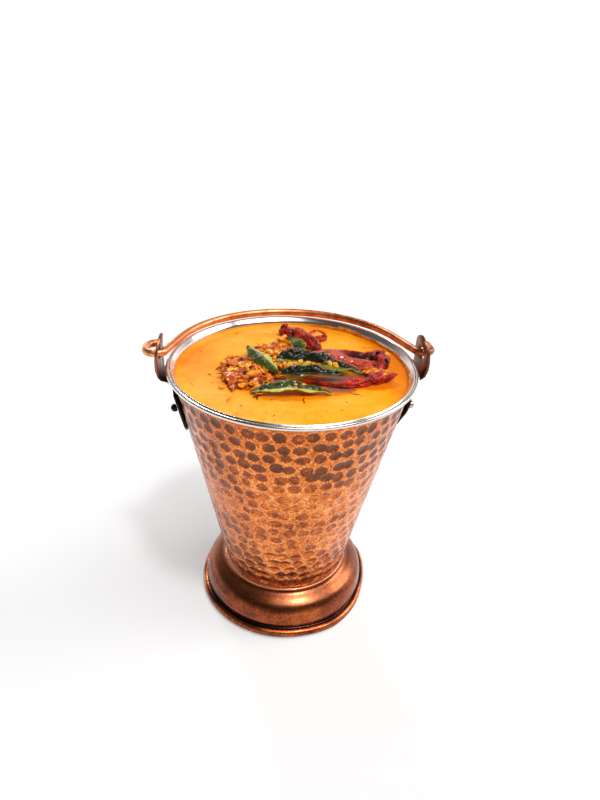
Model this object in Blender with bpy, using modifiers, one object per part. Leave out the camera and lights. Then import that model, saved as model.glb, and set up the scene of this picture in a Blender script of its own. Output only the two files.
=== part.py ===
"""Dal tadka in a small serving bucket of hammered copper, lined with steel, with a swinging bail.

Metres, +Z up. The origin is on the floor under the middle of the foot, and the bail's ears are on the
X axis. Lengths below are in millimetres until `mm` turns them into metres.
"""
import bpy
import bmesh
from math import atan2, cos, exp, hypot, pi, radians, sin, tan
from mathutils import Matrix, Vector


def mm(*values):
    """Millimetres to metres: one number, or a tuple of them."""
    return values[0] * 0.001 if len(values) == 1 else tuple(v * 0.001 for v in values)


# --- bucket ---
SEGMENTS = 44            # facets round every turned piece
GAP = 0.3                # clearance between pieces that touch
RIM_RADIUS = 55.0        # outside of the rolled rim
BEAD_RADIUS = 1.5        # the rolled rim's own section
BEAD_HEIGHT = 126.0      # centre of the rolled rim above the floor
WALL_TOP = (52.3, 124.2)     # outer radius and height of the copper wall's top edge
WALL_FOOT = (30.0, 19.9)     # the same at the bottom, inside the foot's collar
COPPER = 0.5             # sheet thickness of the wall
STEEL = 0.5              # sheet thickness of the lining
LINING_FLOOR = 21.4      # inside floor of the lining
FOOT_SHEET = 0.9         # sheet thickness of the spun foot
FOOT_BEAD = (40.85, 2.05, 2.05)      # radius, height and section radius of the foot's rolled edge
FOOT_KNOCKS = [          # angle, half width (degrees) and depth of the dents in the foot's edge
    (17, 16, 2.3), (-20, 14, -0.7), (-60, 14, 0.8), (150, 18, 0.5),
]

# --- ears and bail ---
EAR_THICKNESS = 1.0
EAR_HOLE = 3.1
PIVOT_HEIGHT = 131.1     # height of the bail's axis
WIRE_RADIUS = 1.75
BAIL_RADIUS = 53.0       # centre line of the bail's round part
BAIL_DROOP = 1.6         # degrees below level at which the bail lies on the back of the rim

# --- food ---
DAL_LEVEL = 124.8

COLLECTION = bpy.data.collections.new("dal_tadka")
CUTTERS = bpy.data.collections.new("cutters")


def clear_scene():
    for obj in list(bpy.data.objects):
        bpy.data.objects.remove(obj, do_unlink=True)
    bpy.context.scene.collection.children.link(COLLECTION)
    bpy.context.scene.collection.children.link(CUTTERS)


def material(name, colour, roughness, metallic=0.0):
    finish = bpy.data.materials.new(name)
    finish.use_nodes = True
    shader = finish.node_tree.nodes["Principled BSDF"]
    shader.inputs["Base Color"].default_value = (*colour, 1.0)
    shader.inputs["Roughness"].default_value = roughness
    shader.inputs["Metallic"].default_value = metallic
    finish.diffuse_color = (*colour, 1.0)
    return finish


def place(name, data, finish, collection=COLLECTION):
    obj = bpy.data.objects.new(name, data)
    collection.objects.link(obj)
    if finish:
        data.materials.append(finish)
    return obj


def baked(obj):
    """Replace an object by the plain mesh that its modifiers or its curve make."""
    bpy.context.view_layer.update()
    evaluated = obj.evaluated_get(bpy.context.evaluated_depsgraph_get())
    mesh = bpy.data.meshes.new_from_object(evaluated)
    name, matrix, home = obj.name, obj.matrix_world.copy(), obj.users_collection[0]
    bpy.data.objects.remove(obj, do_unlink=True)
    welded = bmesh.new()
    welded.from_mesh(mesh)
    bmesh.ops.remove_doubles(welded, verts=welded.verts, dist=0.00001)
    welded.to_mesh(mesh)
    welded.free()
    solid = bpy.data.objects.new(name, mesh)
    solid.matrix_world = matrix
    home.objects.link(solid)
    return solid


def blend(stations, t):
    """A smooth value at t, from stations (t, value) in rising order, eased from one to the next."""
    if t <= stations[0][0]:
        return stations[0][1]
    for (t0, v0), (t1, v1) in zip(stations, stations[1:]):
        if t <= t1:
            s = (t - t0) / (t1 - t0)
            return v0 + (v1 - v0) * s * s * (3 - 2 * s)
    return stations[-1][1]


def arc_points(centre, radius, start, end, count):
    """Points of (radius, height) on an arc, from start to end in degrees, both ends included."""
    angles = [radians(start + (end - start) * i / count) for i in range(count + 1)]
    return [(centre[0] + radius * cos(a), centre[1] + radius * sin(a)) for a in angles]


def turned(name, profile, finish, closed=False):
    """A turned piece: the profile of (radius, height) runs clockwise, so down its outer side."""
    mesh = bpy.data.meshes.new(name)
    count = len(profile)
    edges = [(i, i + 1) for i in range(count - 1)] + ([(count - 1, 0)] if closed else [])
    mesh.from_pydata([mm(r, 0.0, z) for r, z in profile], edges, [])
    obj = place(name, mesh, finish)
    screw = obj.modifiers.new("turn", "SCREW")
    screw.steps = screw.render_steps = SEGMENTS
    screw.use_merge_vertices = True
    screw.merge_threshold = 0.00001
    screw.use_smooth_shade = True
    return obj


# ---------------------------------------------------------------- the bucket

def wall_radius(height):
    """Outer radius of the copper wall at a height."""
    (r1, z1), (r0, z0) = WALL_TOP, WALL_FOOT
    return r0 + (r1 - r0) * (height - z0) / (z1 - z0)


def make_wall(finish):
    floor = WALL_FOOT[1] + COPPER
    top = WALL_TOP[1]
    profile = [
        (0.0, floor),
        (wall_radius(floor) - COPPER, floor),
        (wall_radius(top) - COPPER, top),
        (wall_radius(top), top),
        (wall_radius(72.0), 72.0),
        WALL_FOOT,
        (0.0, WALL_FOOT[1]),
    ]
    return turned("copper_wall", profile, finish)


def lining_radius(height):
    """Inner radius of the steel lining at a height."""
    return wall_radius(height) - COPPER - GAP - STEEL


def make_lining(finish):
    floor = LINING_FLOOR
    under = floor - STEEL
    shoulder = WALL_TOP[1] + GAP
    bead = (RIM_RADIUS - BEAD_RADIUS, BEAD_HEIGHT)
    profile = [
        (0.0, floor),
        (lining_radius(floor) - 1.2, floor),
        (lining_radius(floor + 1.2), floor + 1.2),
        (lining_radius(shoulder - 0.6), shoulder - 0.6),
    ]
    profile += arc_points(bead, BEAD_RADIUS, 190, -80, 6)
    profile += [
        (lining_radius(shoulder) + STEEL + 0.5, shoulder),
        (lining_radius(shoulder - 0.5) + STEEL, shoulder - 0.5),
        (lining_radius(under + 1.2) + STEEL, under + 1.2),
        (lining_radius(under) + STEEL - 1.2, under),
        (0.0, under),
    ]
    return turned("steel_lining", profile, finish)


def inset(points, distance):
    """The same line moved to the right of its own direction, for a sheet's inner face."""
    moved = []
    for i, (r, z) in enumerate(points):
        before, after = points[max(i - 1, 0)], points[min(i + 1, len(points) - 1)]
        dr, dz = after[0] - before[0], after[1] - before[1]
        length = hypot(dr, dz)
        moved.append((r + distance * dz / length, z - distance * dr / length))
    return moved


def foot_dent(angle, height):
    """How far the foot's edge stands out of round, in millimetres, at an angle and a height."""
    spread = 0.0
    for centre, width, depth in FOOT_KNOCKS:
        apart = (angle - radians(centre) + pi) % (2 * pi) - pi
        spread += depth * exp(-(apart / radians(width)) ** 2)
    return spread * blend([(4.2, 1.0), (6.5, 0.25), (12.0, 0.0)], height)


def make_foot(finish):
    """A spun skirt under the bucket: a small lip, a flare, a shoulder, a groove and a rolled edge."""
    radius, height, section = FOOT_BEAD
    skirt = [
        (31.1, 19.4),
        (31.9, 17.4),
        (34.6, 16.1),
        (37.5, 14.5),
        (39.2, 12.2),
        (40.0, 9.2),
        (40.3, 6.6),
        (39.6, 4.2),
    ]
    lip = arc_points((30.75, 20.4), 0.45, 180, -10, 3)
    edge = arc_points((radius, height), section, 105, -90, 5)
    hidden = [(38.9, 0.0), (38.4, 3.0)] + inset(skirt, FOOT_SHEET)[-2:0:-2]
    foot = baked(turned("foot", lip + skirt + edge + hidden, finish, closed=True))
    for vertex in foot.data.vertices:
        x, y, z = vertex.co
        around = hypot(x, y)
        grown = 1.0 + mm(foot_dent(atan2(y, x), z * 1000)) / around
        vertex.co = (x * grown, y * grown, z)
    return foot


# ---------------------------------------------------------------- ears and rivets

EAR_WIDTH = [        # height and half width of the ear's outline, top to bottom
    (138.5, 3.2), (136.4, 5.8), (133.5, 7.6), (130.5, 8.1), (126.5, 7.9), (123.0, 7.3), (121.0, 6.2),
    (119.6, 4.0), (117.4, 3.4), (115.4, 9.0), (113.4, 12.6), (107.5, 12.6), (100.5, 10.2), (96.4, 6.0),
]
EAR_TOP = 139.4
EAR_BOTTOM = 95.4
EAR_CUTS = [103.5, 109.0, 113.2, 115.5, 117.5, 118.8, 120.2, 122.3, 125.5, 129.5, 135.0]
EAR_BEND = [         # height and distance from the strap's line of the ear's middle plane
    (96.0, 0.0), (113.0, 0.0), (117.0, 1.0), (122.4, 6.6), (126.5, 7.2), (131.5, 7.1), (140.0, 5.7),
]
RIVET_PLACE = (10.2, 110.6)


def ear_distance(width, height, hug):
    """Distance of the ear's middle plane from the bucket's axis, at a half width and a height.

    hug says how closely the strap's corners follow the round wall: 1 all the way, 0 not at all.
    """
    strap = wall_radius(min(height, 113.0)) + GAP + EAR_THICKNESS / 2 + 0.15
    wrap = width * width * blend([(97.0, 0.0088), (112.0, 0.0088 * hug), (118.0, 0.0)], height)
    return strap + blend(EAR_BEND, height) - wrap


def make_ear(name, finish, turn, hug, lean, twist):
    """A flat cut ear with the bail's hole, its strap bent in under the rim and on to the wall.

    lean moves the ear sideways round its hole, in millimetres, and twist turns it about its height,
    in degrees.
    """
    outline = bpy.data.curves.new(name, "CURVE")
    outline.dimensions = "2D"
    outline.fill_mode = "BOTH"
    outline.extrude = mm(EAR_THICKNESS / 2)
    outline.resolution_u = 1
    right = [(w, z) for z, w in EAR_WIDTH]
    left = [(-w, z) for w, z in reversed(right)]
    edge = [(0.0, EAR_TOP)] + right + [(0.0, EAR_BOTTOM)] + left
    edge = [(w + lean * blend([(118.0, 0.0), (124.0, 1.0)], z), z) for w, z in edge]
    hole = arc_points((0.0, PIVOT_HEIGHT + 0.3), EAR_HOLE, 0, 330, 11)
    for points in (edge, hole):
        spline = outline.splines.new("BEZIER")
        spline.bezier_points.add(len(points) - 1)
        spline.use_cyclic_u = True
        for knot, (x, y) in zip(spline.bezier_points, points):
            knot.co = mm(x, y, 0.0)
            knot.handle_left_type = knot.handle_right_type = "AUTO"
    ear = baked(place(name, outline, finish))
    sheet = bmesh.new()
    sheet.from_mesh(ear.data)
    for height in EAR_CUTS:
        everything = sheet.verts[:] + sheet.edges[:] + sheet.faces[:]
        bmesh.ops.bisect_plane(sheet, geom=everything, plane_co=mm(0.0, height, 0.0), plane_no=(0, 1, 0),
                               dist=1e-6)
    for across in (-6.0, 0.0, 6.0):
        strap = [face for face in sheet.faces if face.calc_center_median().y < mm(115.0)]
        around = list({part for face in strap for part in (*face.verts, *face.edges)})
        bmesh.ops.bisect_plane(sheet, geom=strap + around, plane_co=mm(across, 0.0, 0.0),
                               plane_no=(1, 0, 0), dist=1e-6)
    for vertex in sheet.verts:
        across, height, out = (value * 1000 for value in vertex.co)
        slope = ear_distance(across, height + 0.5, hug) - ear_distance(across, height - 0.5, hug)
        outward = out / hypot(1.0, slope)
        twisted = across * tan(radians(twist)) * blend([(119.0, 0.0), (125.0, 1.0)], height)
        vertex.co = mm(ear_distance(across, height, hug) + outward + twisted, across,
                       height - slope * outward)
    sheet.to_mesh(ear.data)
    sheet.free()
    ear.rotation_euler.z = turn
    return ear


def make_rivet(name, finish, side, turn, hug):
    """A round rivet head on the ear's strap."""
    across, height = RIVET_PLACE
    head = [(0.0, 2.6), (0.9, 2.4), (1.6, 1.8), (1.9, 1.0), (1.6, 0.0), (0.0, 0.0)]
    rivet = turned(name, head, finish)
    rivet.modifiers["turn"].steps = rivet.modifiers["turn"].render_steps = 12
    out = ear_distance(across, height, hug) + EAR_THICKNESS / 2 + GAP
    tilt = Matrix.Rotation(radians(90 + 12), 4, "Y")
    lean = Matrix.Rotation(side * radians(9) * hug, 4, "Z")
    seat = Matrix.Translation(mm(out, side * across, height))
    rivet.matrix_world = Matrix.Rotation(turn, 4, "Z") @ seat @ lean @ tilt
    return rivet


# ---------------------------------------------------------------- the bail

def trace(start, moves):
    """Points along a wire: each move is (length, turn in degrees, pieces), turned left if positive."""
    x, y = start
    heading = 0.0
    points = [start]
    for length, turn, pieces in moves:
        step, bend = length / pieces, radians(turn) / pieces
        for _ in range(pieces):
            heading += bend / 2
            chord = step * (sin(bend / 2) / (bend / 2) if bend else 1.0)
            x += chord * cos(heading)
            y += chord * sin(heading)
            heading += bend / 2
            points.append((x, y))
    return points


def bend(radius, turn, pieces):
    return (radius * abs(radians(turn)), turn, pieces)


def bail_half(hook, side):
    """Half the bail, from the middle of its round part to its end, hooked round an open U.

    hook is the radius of the U's two corners and side the straight between them.
    """
    return trace((0.0, BAIL_RADIUS), [
        bend(BAIL_RADIUS, -70, 8),
        (16.6, 0, 2),
        bend(3.5, 55, 4),
        bend(hook, 105, 5),
        (side, 0, 1),
        bend(hook, 90, 4),
    ])


def make_bail(finish):
    """A round wire bail whose ends pass out through the ears and hook back."""
    left = [(-x, y) for x, y in reversed(bail_half(4.5, 2.6)[1:])]
    points = left + bail_half(3.9, 3.6)
    wire = bpy.data.curves.new("bail", "CURVE")
    wire.dimensions = "3D"
    wire.bevel_depth = mm(WIRE_RADIUS)
    wire.bevel_resolution = 2
    wire.use_fill_caps = True
    spline = wire.splines.new("POLY")
    spline.points.add(len(points) - 1)
    for point, (x, y) in zip(spline.points, points):
        point.co = (*mm(x, y, 0.0), 1.0)
    bail = place("bail", wire, finish)
    bail.location.z = mm(PIVOT_HEIGHT)
    bail.rotation_euler.x = radians(-BAIL_DROOP)
    return baked(bail)


# ---------------------------------------------------------------- the food

def make_dal(finish):
    floor = LINING_FLOOR + GAP
    side = lining_radius(DAL_LEVEL) - GAP
    profile = [
        (0.0, DAL_LEVEL),
        (28.0, DAL_LEVEL + 0.05),
        (side - 1.5, DAL_LEVEL - 0.1),
        (side, DAL_LEVEL + 0.1),
        (lining_radius(floor + 1.4) - GAP, floor + 1.4),
        (lining_radius(floor) - GAP - 1.4, floor),
        (0.0, floor),
    ]
    return turned("dal", profile, finish)


def sink(dal, topping):
    """Cut the dal round a topping, a gap wider than it all over."""
    grown = topping.data.copy()
    for vertex in grown.vertices:
        vertex.co += vertex.normal * mm(1.5 * GAP)
    cutter = bpy.data.objects.new(topping.name + "_pocket", grown)
    cutter.matrix_world = topping.matrix_world
    cutter.hide_render = True
    cutter.display_type = "WIRE"
    CUTTERS.objects.link(cutter)
    cut = dal.modifiers.new(topping.name, "BOOLEAN")
    cut.operation = "DIFFERENCE"
    cut.object = cutter


def make_leaf(name, finish, base, tip, half_width, fold, roll, arch=1.0, sway=0.0, edge_wave=0.4):
    """A curry leaf: a pointed sheet folded along its midrib, from base to tip.

    fold lifts both halves, and roll turns the leaf about its midrib (degrees). arch lifts its middle and
    sway bends it sideways in its own plane (millimetres).
    """
    base, tip = Vector(base), Vector(tip)
    length = (tip - base).length
    bpy.ops.mesh.primitive_grid_add(x_subdivisions=10, y_subdivisions=4, size=1.0)
    leaf = bpy.context.object
    leaf.name = leaf.data.name = name
    for home in list(leaf.users_collection):
        home.objects.unlink(leaf)
    COLLECTION.objects.link(leaf)
    leaf.data.materials.append(finish)
    for vertex in leaf.data.vertices:
        t, side = vertex.co.x + 0.5, vertex.co.y * 2
        width = half_width * (0.07 + sin(pi * t ** 0.8) ** 0.9 * (1.0 - 0.35 * t) * 1.12)
        lifted = radians(fold) * (1 if side else 0)
        across = side * width
        x = t * length
        y = across * cos(lifted) + sway * sin(pi * t)
        z = abs(across) * sin(lifted) + arch * sin(pi * t) + edge_wave * side * side * sin(5.0 * pi * t)
        vertex.co = (x, y, z)
    along = (tip - base).normalized()
    side_way = Vector((0, 0, 1)).cross(along).normalized()
    upward = along.cross(side_way)
    frame = Matrix((along, side_way, upward)).transposed().to_4x4()
    turn = Matrix.Rotation(radians(roll), 4, "X")
    scale = Matrix.Scale(0.001, 4)
    leaf.data.transform(Matrix.Translation(mm(*base)) @ scale @ frame @ turn)
    sheet = leaf.modifiers.new("thickness", "SOLIDIFY")
    sheet.thickness = mm(0.45)
    sheet.offset = 0.0
    return leaf


def make_pod(name, finish, spine, flatten=1.0, wrinkle=0.25):
    """A dried chilli: a tapered tube along a spine of (x, y, z, radius), flattened and wrinkled."""
    pod = bpy.data.curves.new(name, "CURVE")
    pod.dimensions = "3D"
    pod.bevel_depth = mm(1.0)
    pod.bevel_resolution = 2
    pod.use_fill_caps = True
    pod.resolution_u = 2
    spline = pod.splines.new("NURBS")
    spline.points.add(len(spine) - 1)
    for point, (x, y, z, radius) in zip(spline.points, spine):
        point.co = (*mm(x, y, z), 1.0)
        point.radius = radius
    spline.use_endpoint_u = True
    spline.order_u = 3
    solid = baked(place(name, pod, finish))
    middle = mm(sum(p[2] for p in spine) / len(spine))
    for vertex in solid.data.vertices:
        x, y, z = vertex.co
        crease = sin(900 * x + 500 * y) * sin(1300 * z + 700 * (y - x))
        z = middle + (z - middle) * flatten
        vertex.co = Vector((x, y, z)) + vertex.normal * mm(wrinkle) * crease
    return solid


def make_heap(name, finish, centre, size, turn, lumps):
    """A heap of fried bits: a low mound inside an uneven outline, lumpy all over."""
    bpy.ops.mesh.primitive_ico_sphere_add(subdivisions=3, radius=1.0)
    heap = bpy.context.object
    heap.name = heap.data.name = name
    for home in list(heap.users_collection):
        home.objects.unlink(heap)
    COLLECTION.objects.link(heap)
    heap.data.materials.append(finish)
    for vertex in heap.data.vertices:
        x, y, z = vertex.co
        angle = atan2(y, x)
        spread = 1.0 + sum(depth * cos(count * angle + shift) for count, depth, shift in lumps)
        rough = 0.10 * sin(9 * x + 2) * sin(8 * y + 1) + 0.07 * sin(17 * x + 11 * y)
        vertex.co = (x * spread, y * spread, (z if z < 0 else z * (1 + 3 * rough)))
    heap.data.transform(Matrix.Diagonal((*mm(*size), 1.0)))
    heap.data.transform(Matrix.Rotation(radians(turn), 4, "Z"))
    heap.data.transform(Matrix.Translation(mm(*centre)))
    return heap


def make_ring(name, finish, centre, turn, lean):
    """A short cut ring of a pod."""
    section = arc_points((3.9, 0.0), 1.1, 90, -270, 6)[:-1]
    ring = turned(name, [(r, z * 1.3) for r, z in section], finish, closed=True)
    ring.modifiers["turn"].steps = ring.modifiers["turn"].render_steps = 16
    ring = baked(ring)
    ring.data.transform(Matrix.Translation(mm(*centre)) @ Matrix.Rotation(radians(turn), 4, "Z")
                        @ Matrix.Rotation(radians(lean), 4, "X"))
    return ring


def make_toppings():
    green = material("curry_leaf", (0.06, 0.09, 0.015), 0.35)
    red = material("dried_chilli", (0.20, 0.012, 0.008), 0.3)
    fried = material("fried_masala", (0.55, 0.14, 0.02), 0.4)
    leaves = [
        make_leaf("curry_leaf_left", green, (-19.8, 12.0, 129.4), (-7.4, -11.8, 128.8), 5.0, -14, -6),
        make_leaf("curry_leaf_large", green, (-6.6, 2.4, 127.2), (28.6, -11.6, 127.8), 7.4, 4, 22, arch=1.0),
        make_leaf("curry_leaf_dark", green, (-6.2, -12.2, 126.6), (21.4, -15.6, 127.6), 3.6, 30, 12),
        make_leaf("curry_leaf_front", green, (-17.5, -26.6, 125.8), (13.4, -27.8, 125.8), 4.6, 10, 12,
                  sway=2.6),
        make_leaf("curry_leaf_back", green, (6.2, 12.8, 127.2), (-0.6, 25.6, 128.2), 3.2, 8, -20, arch=0.4),
    ]
    pods = [
        make_pod("chilli_back", red, [
            (-2.8, 37.2, 127.0, 1.0), (-1.6, 35.8, 127.4, 3.4), (1.0, 33.6, 127.0, 2.2),
            (4.0, 29.6, 126.6, 3.5), (7.6, 24.2, 126.5, 3.5), (11.6, 18.6, 126.3, 3.0),
            (15.0, 14.6, 126.1, 0.7)]),
        make_pod("chilli_broad", red, [
            (14.6, 13.2, 126.0, 1.0), (19.0, 9.6, 126.2, 5.4), (26.0, 5.8, 126.4, 7.4),
            (33.0, 4.6, 126.5, 7.0), (39.0, 4.6, 126.6, 5.6), (43.6, 4.0, 126.6, 2.2)], flatten=0.44),
        make_pod("chilli_front", red, [
            (17.6, -20.6, 126.0, 0.6), (22.4, -19.2, 126.0, 2.2), (27.0, -17.6, 126.0, 2.9),
            (33.0, -16.2, 126.1, 3.0), (38.6, -15.0, 126.3, 2.3), (43.8, -13.4, 126.7, 0.6)]),
    ]
    heaps = [
        make_heap("masala_front", fried, (-21.5, -7.5, 125.4), (9.8, 15.0, 2.6), 14,
                  [(2, 0.08, 0.4), (3, 0.10, 1.3), (5, 0.06, 0.2)]),
        make_heap("masala_back", fried, (-6.5, 15.0, 125.3), (10.4, 4.4, 1.7), -6,
                  [(3, 0.10, 2.0), (5, 0.06, 1.0)]),
        make_heap("masala_right", fried, (34.4, -8.8, 125.5), (5.4, 2.9, 2.2), -8,
                  [(3, 0.08, 0.7), (4, 0.07, 1.9)]),
    ]
    ring = make_ring("chilli_ring", red, (14.8, 30.2, 126.0), 20, 10)
    return leaves, pods + heaps + [ring]


def build():
    clear_scene()
    copper = material("hammered_copper", (0.62, 0.25, 0.11), 0.3, 1.0)
    aged = material("aged_copper", (0.30, 0.11, 0.05), 0.45, 1.0)
    steel = material("steel", (0.75, 0.72, 0.68), 0.25, 1.0)
    sauce = material("dal", (0.95, 0.42, 0.03), 0.35)
    make_wall(copper)
    make_lining(steel)
    make_foot(copper)
    ears = (("right", 0.0, -1, -0.5, 0.0, -4), ("left", pi, 1, 0.8, -1.8, 4))
    for side, turn, front, hug, lean, twist in ears:
        make_ear("ear_" + side, aged, turn, hug, lean, twist)
        make_rivet(f"rivet_{side}_front", copper, front, turn, hug)
        make_rivet(f"rivet_{side}_back", copper, -front, turn, hug)
    make_bail(copper)
    dal = make_dal(sauce)
    leaves, sunk = make_toppings()
    for topping in sunk:
        sink(dal, topping)


build()
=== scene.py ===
from math import atan2, cos, hypot, pi, radians, sin

import bpy
import numpy as np
from mathutils import Matrix, Vector, noise


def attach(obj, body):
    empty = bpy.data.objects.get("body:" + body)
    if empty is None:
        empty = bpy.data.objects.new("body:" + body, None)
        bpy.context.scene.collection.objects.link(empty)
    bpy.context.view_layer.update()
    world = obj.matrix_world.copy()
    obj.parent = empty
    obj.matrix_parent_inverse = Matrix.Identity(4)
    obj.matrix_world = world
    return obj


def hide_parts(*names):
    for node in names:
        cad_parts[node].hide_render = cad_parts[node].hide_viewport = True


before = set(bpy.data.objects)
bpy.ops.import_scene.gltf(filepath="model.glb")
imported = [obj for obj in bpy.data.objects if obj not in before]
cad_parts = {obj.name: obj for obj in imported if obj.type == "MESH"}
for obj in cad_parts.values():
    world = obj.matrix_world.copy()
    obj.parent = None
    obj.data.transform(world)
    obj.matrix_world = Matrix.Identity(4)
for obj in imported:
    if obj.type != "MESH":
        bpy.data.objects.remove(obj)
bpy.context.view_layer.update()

# ---------------------------------------------------------------- camera
# It stands in front of the bucket, a little to its left and well above the rim, and looks down
# on the dal. Lengths in this file are millimetres until MM turns them into metres.
MM = 0.001
lens = bpy.data.cameras.new("camera")
lens.sensor_fit, lens.sensor_height, lens.lens, lens.clip_start = "VERTICAL", 24.0, 18.0, 0.01
camera = bpy.data.objects.new("camera", lens)
bpy.context.scene.collection.objects.link(camera)
ahead, above = Vector((0.11463, 0.86426, -0.48981)), Vector((0.01167, 0.49186, 0.87060))
camera.matrix_world = (Matrix.Translation(Vector((-27.451, -236.172, 241.476)) * MM)
                       @ Matrix((ahead.cross(above), above, -ahead)).transposed().to_4x4())
bpy.context.scene.camera = camera
bpy.context.scene.view_settings.view_transform = "Standard"

# ---------------------------------------------------------------- floor and light
# A white table that runs into a white backdrop. A wide soft light with a bright bulb in it hangs
# overhead, another stands at the right and a small one behind; the rest of the room is dark.


def link(piece):
    """Put an object in the scene."""
    bpy.context.scene.collection.objects.link(piece)
    return piece


def put(tree, kind, inputs=(), **settings):
    """Add a node; inputs gives its sockets a value or another node's socket. Returns its output."""
    node = tree.nodes.new("ShaderNode" + kind)
    output = settings.pop("output", 0)
    for key, value in settings.items():
        setattr(node, key, value)
    for key, value in dict(inputs).items():
        if isinstance(value, bpy.types.NodeSocket):
            tree.links.new(value, node.inputs[key])
        else:
            node.inputs[key].default_value = value
    return node.outputs[output]


def calc(tree, operation, *values):
    """A maths node over the given values."""
    return put(tree, "Math", enumerate(values), operation=operation)


def ramp(tree, factor, *stops):
    """A colour ramp over (value, colour) stops, for values that may go above 1."""
    top = max(1.0, stops[-1][0])
    out = put(tree, "ValToRGB", {"Fac": calc(tree, "DIVIDE", factor, top)})
    elements = out.node.color_ramp.elements
    while len(elements) < len(stops):
        elements.new(0.5)
    for element, (value, colour) in zip(elements, stops):
        element.position = value / top
        element.color = (*colour, 1.0)
    return out


def steps(tree, value, low, high, to_low=0.0, to_high=1.0):
    """A value eased from to_low to to_high while it goes from low to high."""
    return put(tree, "MapRange", {0: value, 1: low, 2: high, 3: to_low, 4: to_high},
               interpolation_type="SMOOTHSTEP")


bpy.ops.mesh.primitive_plane_add(size=8.0, location=(0, 0, -0.2 * MM))
floor = bpy.context.object
floor.name = "floor"
table = bpy.data.materials.new("white_table")
table.use_nodes = True
shader = table.node_tree.nodes["Principled BSDF"]
shader.inputs["Base Color"].default_value = (0.6, 0.6, 0.6, 1)
shader.inputs["Roughness"].default_value = 0.8
shader.inputs["Specular IOR Level"].default_value = 0.1
shader.inputs["Emission Color"].default_value = (1, 1, 1, 1)
shader.inputs["Emission Strength"].default_value = 0.33
floor.data.materials.append(table)

world = bpy.data.worlds.new("studio")
bpy.context.scene.world = world
world.use_nodes = True
sky = world.node_tree
backdrop = sky.nodes["Background"]
backdrop.inputs["Color"].default_value = (1, 1, 1, 1)
direction = put(sky, "SeparateXYZ", {0: put(sky, "TexCoord")}).node.outputs
behind = steps(sky, direction[1], -0.35, 0.30)
low = steps(sky, direction[2], 0.15, 0.60, 1.0, 0.10)
behind = calc(sky, "MULTIPLY", behind, steps(sky, direction[0], -0.9, -0.1, 0.35, 1.0))
room = calc(sky, "MULTIPLY_ADD", behind, low, steps(sky, direction[2], 0.08, 0.38, 0.42, 0.06))
seen = put(sky, "LightPath")
sky.links.new(put(sky, "Mix", {0: seen, 2: room, 3: 1.02}), backdrop.inputs["Strength"])


def soft_light(name, towards, strength, spread):
    """A wide soft light far off in a direction; spread is its width in degrees."""
    data = bpy.data.lights.new(name, "SUN")
    data.energy, data.angle = strength, radians(spread)
    light = link(bpy.data.objects.new(name, data))
    light.matrix_world = Vector(towards).to_track_quat("Z", "Y").to_matrix().to_4x4()


soft_light("light_above", (0.26, -0.34, 0.90), 1.45, 44)
soft_light("light_bulb", (0.20, -0.36, 0.91), 1.0, 7)
soft_light("light_right", (0.80, 0.10, 0.58), 1.2, 34)
soft_light("light_behind_left", (-0.16, 0.74, 0.65), 0.6, 12)

# ---------------------------------------------------------------- hammered wall
# The bucket's outside: a cone of copper sheet, struck all over with a round-faced hammer in
# staggered rows. The hollows have tarnished brown and the ridges between them are rubbed bright.
# A band under the rim and the left side are painted darker as shade.
WALL_TOP, WALL_FOOT = (52.3, 124.2), (30.0, 19.9)       # radius and height
WALL_SHEET, WALL_BOTTOM = 0.62, 20.4
MARK_PITCH, ROW_PITCH, LOW_ROW_PITCH, LOW = 6.4, 5.7, 5.1, 42
MARK_HALF_WIDTH, MARK_HALF_HEIGHT = 2.95, 2.70
FIRST_ROW, LAST_ROW = 119.9, 23.0


def alone(piece):
    """Select one object and nothing else."""
    bpy.ops.object.select_all(action="DESELECT")
    piece.select_set(True)
    bpy.context.view_layer.objects.active = piece


def smooth(piece):
    alone(piece)
    bpy.ops.object.shade_smooth()


def weld(piece, gap, outward=False):
    """Merge the vertices that are closer than a gap, and turn the faces outward if asked."""
    alone(piece)
    bpy.ops.object.mode_set(mode="EDIT")
    bpy.ops.mesh.select_all(action="SELECT")
    bpy.ops.mesh.remove_doubles(threshold=gap * MM)
    if outward:
        bpy.ops.mesh.normals_make_consistent(inside=False)
    bpy.ops.object.mode_set(mode="OBJECT")


def wall_radius(height):
    """The copper cone's outside at a height."""
    (r1, z1), (r0, z0) = WALL_TOP, WALL_FOOT
    return r0 + (r1 - r0) * (height - z0) / (z1 - z0)


def turned(name, outline, count):
    """A piece turned as on a lathe: the half outline is drawn point by point and spun about Z."""
    bpy.ops.mesh.primitive_plane_add(size=MM, location=(0, 0, 0))
    piece = bpy.context.object
    piece.name = piece.data.name = name
    bpy.ops.object.mode_set(mode="EDIT")
    bpy.ops.mesh.select_all(action="SELECT")
    bpy.ops.mesh.merge(type="CENTER")
    last = (0.0, 0.0)
    for number, (r, z) in enumerate(outline):
        move = ((r - last[0]) * MM, 0, (z - last[1]) * MM)
        if number:
            bpy.ops.mesh.extrude_vertices_move(TRANSFORM_OT_translate={"value": move})
        else:
            bpy.ops.transform.translate(value=move)
        last = (r, z)
    bpy.ops.mesh.select_all(action="SELECT")
    bpy.ops.mesh.spin(steps=count, angle=2 * pi, center=(0, 0, 0), axis=(0, 0, 1))
    bpy.ops.object.mode_set(mode="OBJECT")
    weld(piece, 0.002, outward=True)
    smooth(piece)
    return piece


def points_of(piece):
    """The vertices of a piece, in millimetres, as rows of x, y, z."""
    flat = np.empty(len(piece.data.vertices) * 3)
    piece.data.vertices.foreach_get("co", flat)
    return flat.reshape(-1, 3) / MM


def set_points(piece, points):
    """Move the vertices of a piece to the given rows, in millimetres."""
    piece.data.vertices.foreach_set("co", (np.asarray(points) * MM).ravel())
    piece.data.update()


def paint(piece, name, values):
    """Keep a number for each vertex, for the material to read."""
    layer = piece.data.attributes.new(name, "FLOAT", "POINT")
    layer.data.foreach_set("value", np.asarray(values, np.float32))


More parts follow.
